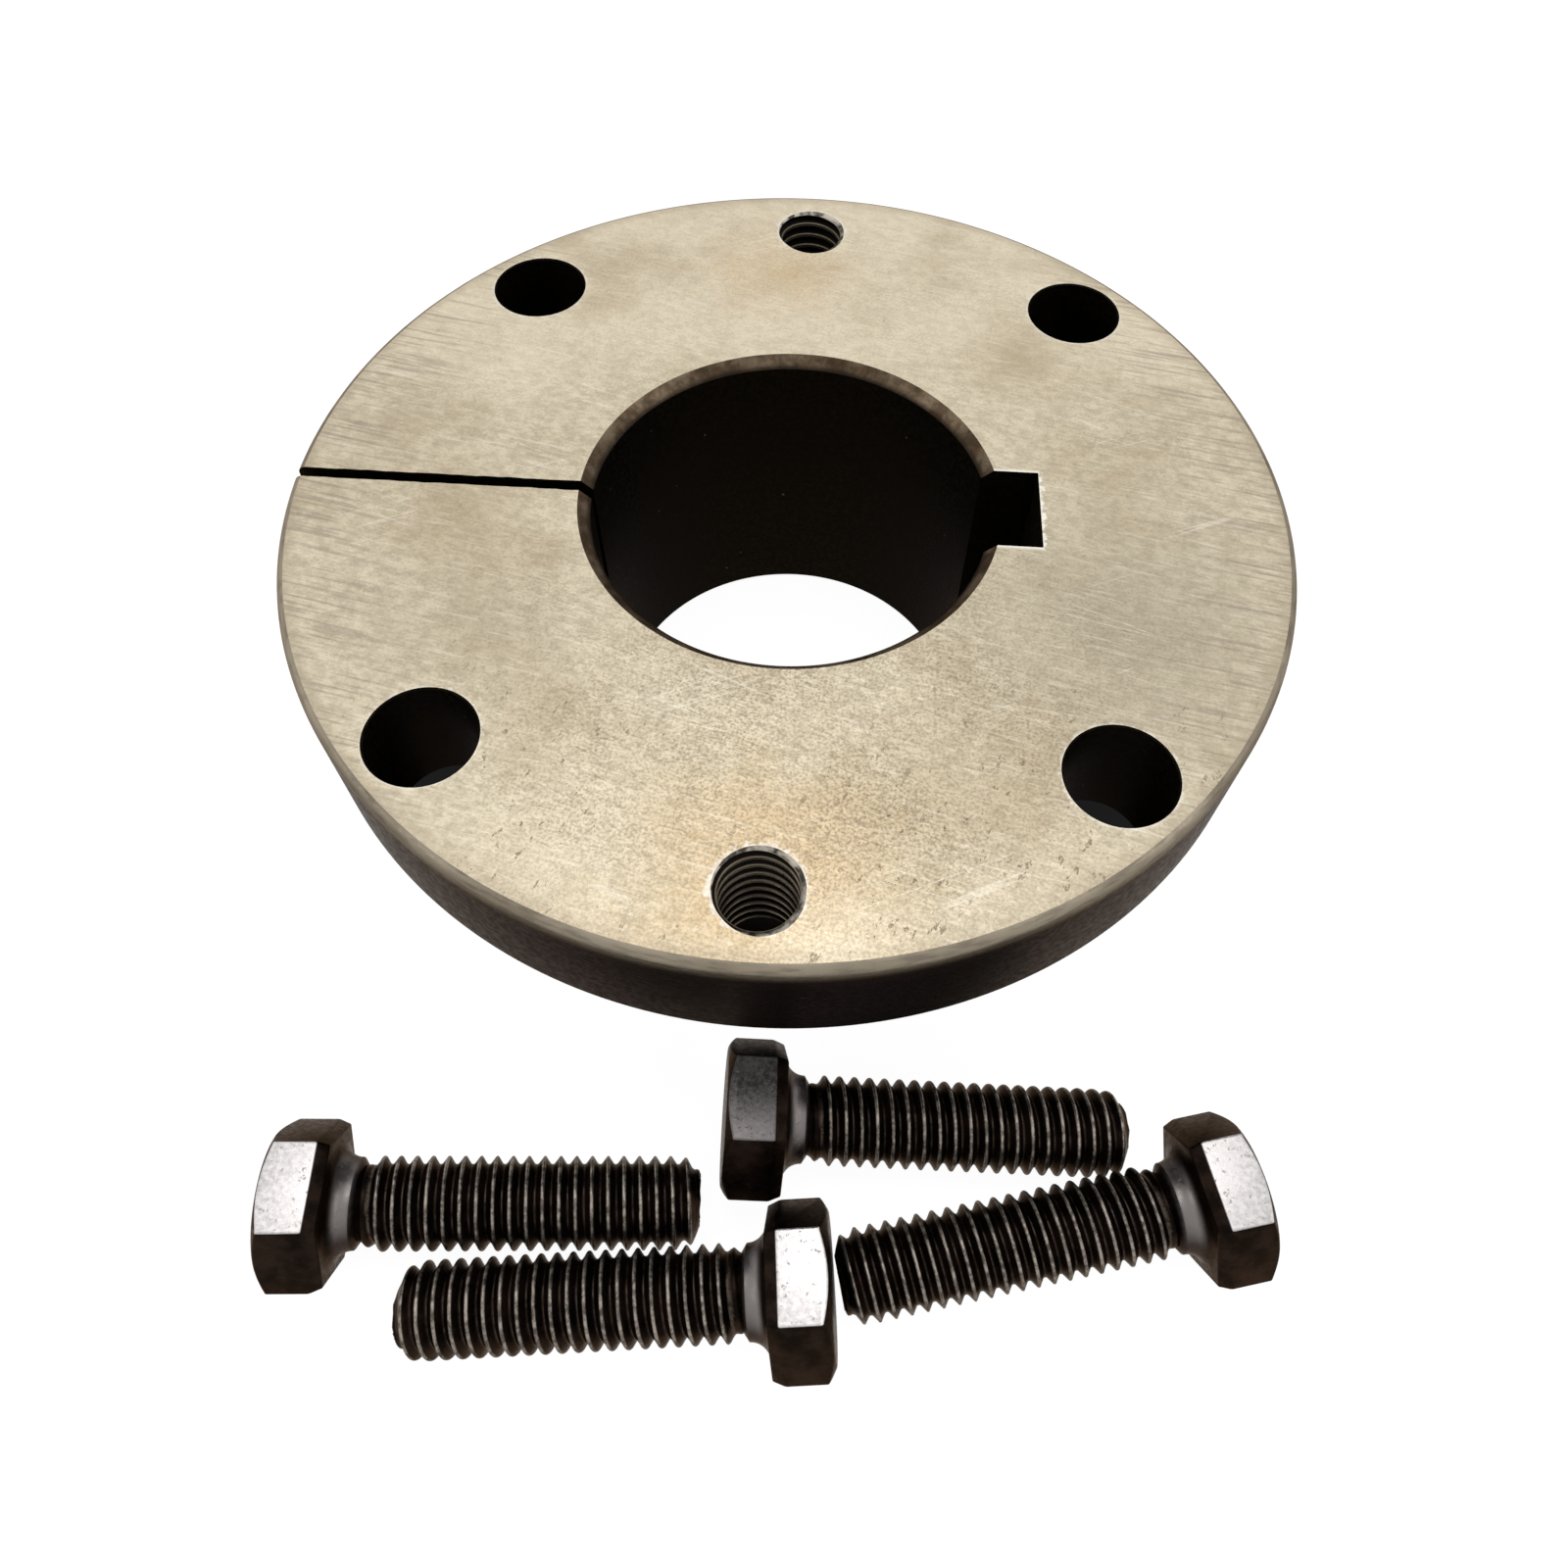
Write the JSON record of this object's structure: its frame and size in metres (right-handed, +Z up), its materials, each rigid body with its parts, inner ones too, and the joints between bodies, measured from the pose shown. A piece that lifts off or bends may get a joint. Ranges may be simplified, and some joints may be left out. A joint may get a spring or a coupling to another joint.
{
  "type": "quick disconnect bushing",
  "caption": "Split, flanged taper bushing with keyway, bolt holes and tapped jack holes, shown with its loose cap screws.",
  "frame": {"origin": "on the bore's axis, in the plane of the small end, which the bushing stands on", "axes": "+Z up the bore towards the flange's face, +X towards the keyway, -X towards the saw cut, -Y towards the loose screws"},
  "size_m": [0.0952, 0.1196, 0.0349],
  "materials": {
    "bushing_steel": "ground, oiled, with tan stains",
    "screw_oxide": "black oxide, oiled, worn bright on crests and flats"
  },
  "bodies": {
    "root": {"bushing": "bushing_steel", "cap_screw_1": "screw_oxide", "cap_screw_2": "screw_oxide", "cap_screw_3": "screw_oxide", "cap_screw_4": "screw_oxide"}
  },
  "joints": []
}
